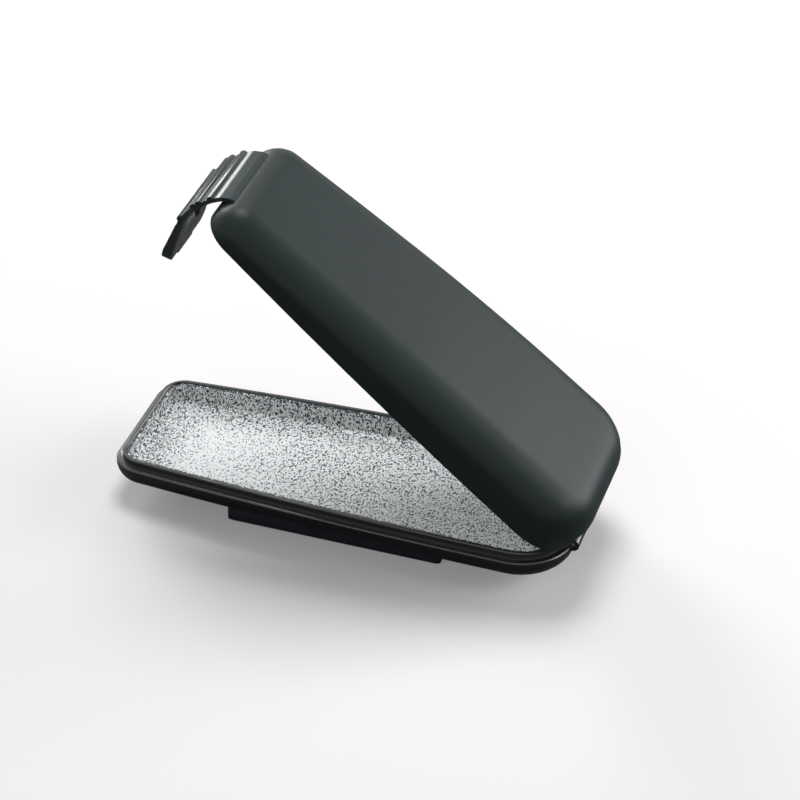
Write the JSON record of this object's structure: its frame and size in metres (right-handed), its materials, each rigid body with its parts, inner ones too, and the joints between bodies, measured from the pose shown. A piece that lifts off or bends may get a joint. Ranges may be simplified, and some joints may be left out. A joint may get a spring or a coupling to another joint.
{
  "type": "magnetic key box",
  "caption": "Slim tapered key box with a shallow tray, a hinged hollow cover, a flexible strap latch and a magnet framed under the tray.",
  "frame": {"origin": "middle of the magnet's face, which the box holds on with", "axes": "+Z away from the magnet's face, +X from the latch end to the hinge end"},
  "size_m": [0.1195, 0.0492, 0.0862],
  "materials": {
    "dark_plastic": "satin fine grain",
    "liner_plastic": "pitted grain",
    "strap_plastic": "satin",
    "bright_steel": "plated",
    "magnet_grey": "ground"
  },
  "bodies": {
    "tray": {"tray_shell": "dark_plastic", "tray_liner": "liner_plastic", "magnet_frame": "dark_plastic", "magnet_yoke": "bright_steel", "magnet_block": "magnet_grey", "hinge_pin": "bright_steel"},
    "cover": {"cover_shell": "dark_plastic", "latch_pad": "strap_plastic"},
    "latch_link_1": {"latch_link_1": "strap_plastic"},
    "latch_link_2": {"latch_link_2": "strap_plastic"},
    "latch_link_3": {"latch_link_3": "strap_plastic"},
    "latch_link_4": {"latch_link_4": "strap_plastic"},
    "latch_link_5": {"latch_link_5": "strap_plastic"},
    "latch_link_6": {"latch_link_6": "strap_plastic"},
    "latch_link_7": {"latch_link_7": "strap_plastic"},
    "latch_link_8": {"latch_link_8": "strap_plastic"},
    "latch_plate": {"latch_plate": "strap_plastic"}
  },
  "joints": [
    {"name": "cover_hinge", "type": "hinge", "parent": "tray", "child": "cover", "pos_m": [0.0577, 0, 0.0106], "axis": [0, 1, 0], "range_deg": [-38.7, 81.3]},
    {"name": "latch_bend", "type": "hinge", "parent": "cover", "child": "latch_link_1", "pos_m": [-0.03131, 0, 0.0855], "axis": [0, -1, 0], "range_deg": [-5, 8]},
    {"name": "strap_bend_2", "type": "hinge", "parent": "latch_link_1", "child": "latch_link_2", "pos_m": [-0.03285, 0, 0.0849], "axis": [0, -1, 0], "range_deg": [-5, 8]},
    {"name": "strap_bend_3", "type": "hinge", "parent": "latch_link_2", "child": "latch_link_3", "pos_m": [-0.03433, 0, 0.08417], "axis": [0, -1, 0], "range_deg": [-5.62, 9]},
    {"name": "strap_bend_4", "type": "hinge", "parent": "latch_link_3", "child": "latch_link_4", "pos_m": [-0.03574, 0, 0.08331], "axis": [0, -1, 0], "range_deg": [-6.25, 10]},
    {"name": "strap_bend_5", "type": "hinge", "parent": "latch_link_4", "child": "latch_link_5", "pos_m": [-0.03707, 0, 0.08234], "axis": [0, -1, 0], "range_deg": [-5.62, 9]},
    {"name": "strap_bend_6", "type": "hinge", "parent": "latch_link_5", "child": "latch_link_6", "pos_m": [-0.03831, 0, 0.08125], "axis": [0, -1, 0], "range_deg": [-5, 8]},
    {"name": "strap_bend_7", "type": "hinge", "parent": "latch_link_6", "child": "latch_link_7", "pos_m": [-0.03945, 0, 0.08006], "axis": [0, -1, 0], "range_deg": [-3.75, 6]},
    {"name": "strap_bend_8", "type": "hinge", "parent": "latch_link_7", "child": "latch_link_8", "pos_m": [-0.04048, 0, 0.07877], "axis": [0, -1, 0], "range_deg": [-3.12, 5]},
    {"name": "strap_bend_9", "type": "hinge", "parent": "latch_link_8", "child": "latch_plate", "pos_m": [-0.0414, 0, 0.07739], "axis": [0, -1, 0], "range_deg": [-2.5, 4]}
  ],
  "couplings": [
    {"joint": "strap_bend_2", "follows": "latch_bend", "ratio": 1},
    {"joint": "strap_bend_3", "follows": "latch_bend", "ratio": 1.125},
    {"joint": "strap_bend_4", "follows": "latch_bend", "ratio": 1.25},
    {"joint": "strap_bend_5", "follows": "latch_bend", "ratio": 1.125},
    {"joint": "strap_bend_6", "follows": "latch_bend", "ratio": 1},
    {"joint": "strap_bend_7", "follows": "latch_bend", "ratio": 0.75},
    {"joint": "strap_bend_8", "follows": "latch_bend", "ratio": 0.625},
    {"joint": "strap_bend_9", "follows": "latch_bend", "ratio": 0.5}
  ]
}
